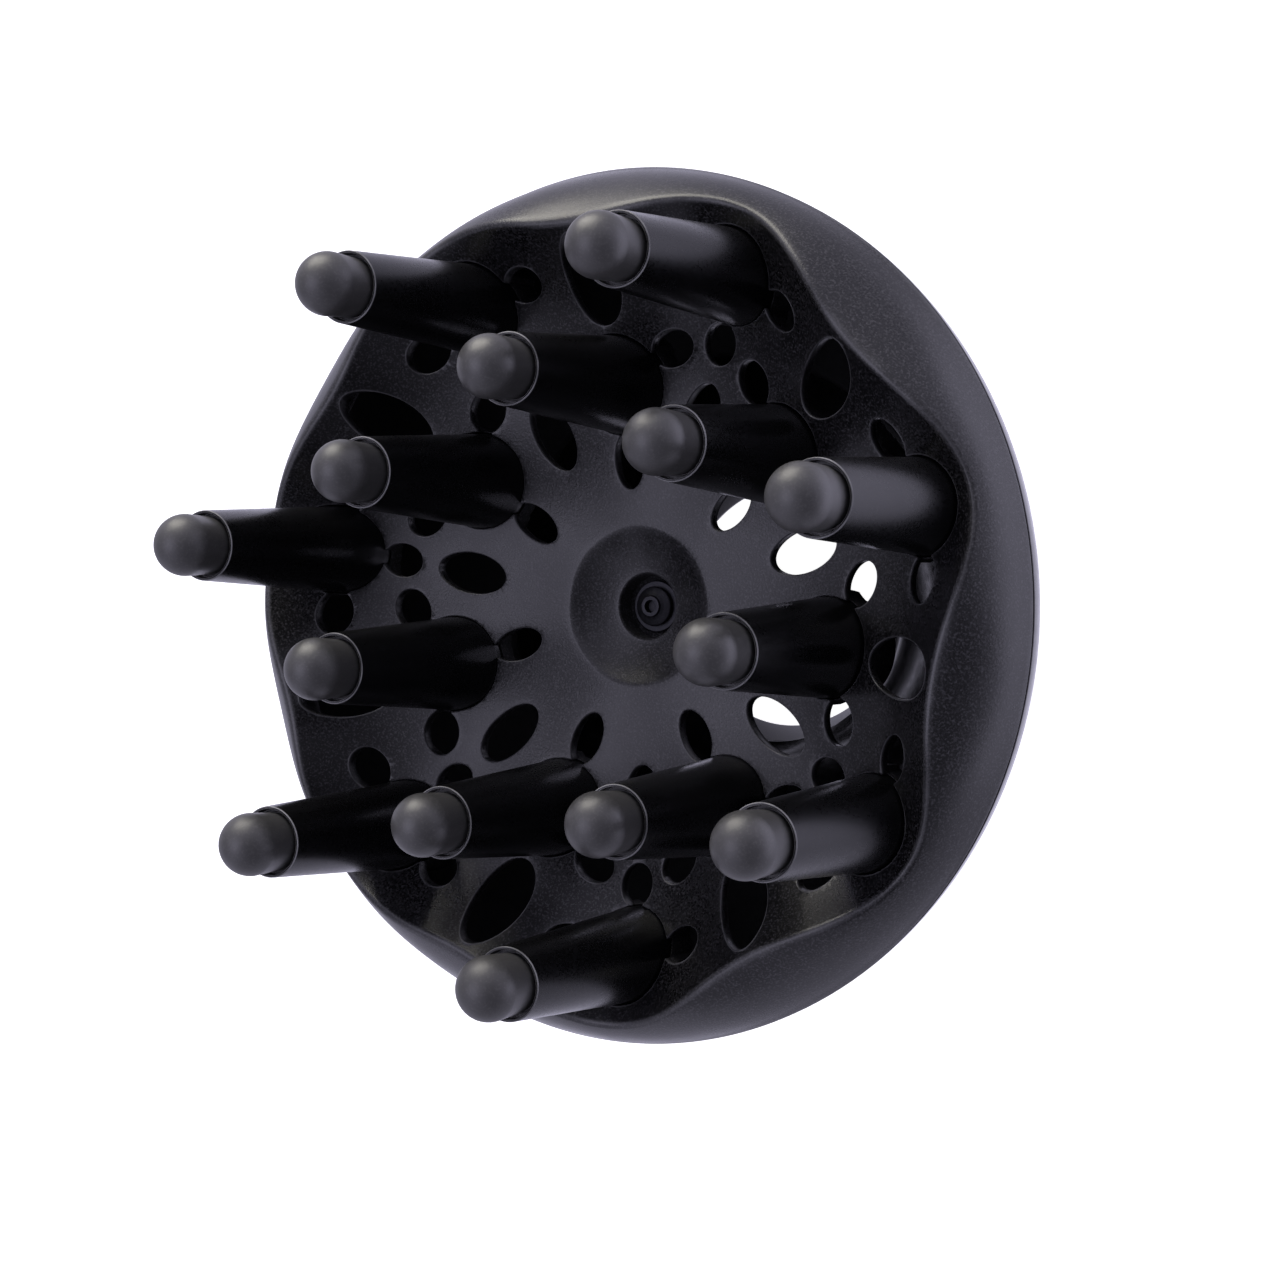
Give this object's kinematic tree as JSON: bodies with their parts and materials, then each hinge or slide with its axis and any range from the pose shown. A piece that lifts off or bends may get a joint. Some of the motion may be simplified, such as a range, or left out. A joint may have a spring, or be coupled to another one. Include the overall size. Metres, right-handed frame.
{
  "type": "hair dryer diffuser",
  "caption": "Hair dryer diffuser: a perforated round bowl with a wavy lip and two rings of soft-tipped fingers, on a flared rear shell whose collar pushes onto the dryer.",
  "frame": {"origin": "centre of the collar's rear face, on the axis of the diffuser", "axes": "+Z along the axis from the collar to the finger tips; -Y towards the first finger of the outer ring; +X completes a right-handed frame"},
  "size_m": [0.15, 0.15, 0.1143],
  "materials": {
    "grained_black": "fine grained moulding, faint sparkle",
    "satin_black": "satin moulded plastic",
    "gloss_black": "polished moulded plastic",
    "soft_black": "matt elastomer",
    "dark_steel": "blackened zinc plate, worn bright at the rims"
  },
  "bodies": {
    "root": {"bowl": "grained_black", "rear_shell": "gloss_black", "grip_ring": "soft_black", "air_spreader": "gloss_black", "centre_screw": "dark_steel", "screw_washer": "dark_steel", "finger_outer_1": "satin_black", "tip_outer_1": "soft_black", "finger_outer_2": "satin_black", "tip_outer_2": "soft_black", "finger_outer_3": "satin_black", "tip_outer_3": "soft_black", "finger_outer_4": "satin_black", "tip_outer_4": "soft_black", "finger_outer_5": "satin_black", "tip_outer_5": "soft_black", "finger_outer_6": "satin_black", "tip_outer_6": "soft_black", "finger_outer_7": "satin_black", "tip_outer_7": "soft_black", "finger_inner_1": "satin_black", "tip_inner_1": "soft_black", "finger_inner_2": "satin_black", "tip_inner_2": "soft_black", "finger_inner_3": "satin_black", "tip_inner_3": "soft_black", "finger_inner_4": "satin_black", "tip_inner_4": "soft_black", "finger_inner_5": "satin_black", "tip_inner_5": "soft_black", "finger_inner_6": "satin_black", "tip_inner_6": "soft_black", "finger_inner_7": "satin_black", "tip_inner_7": "soft_black"}
  },
  "joints": []
}
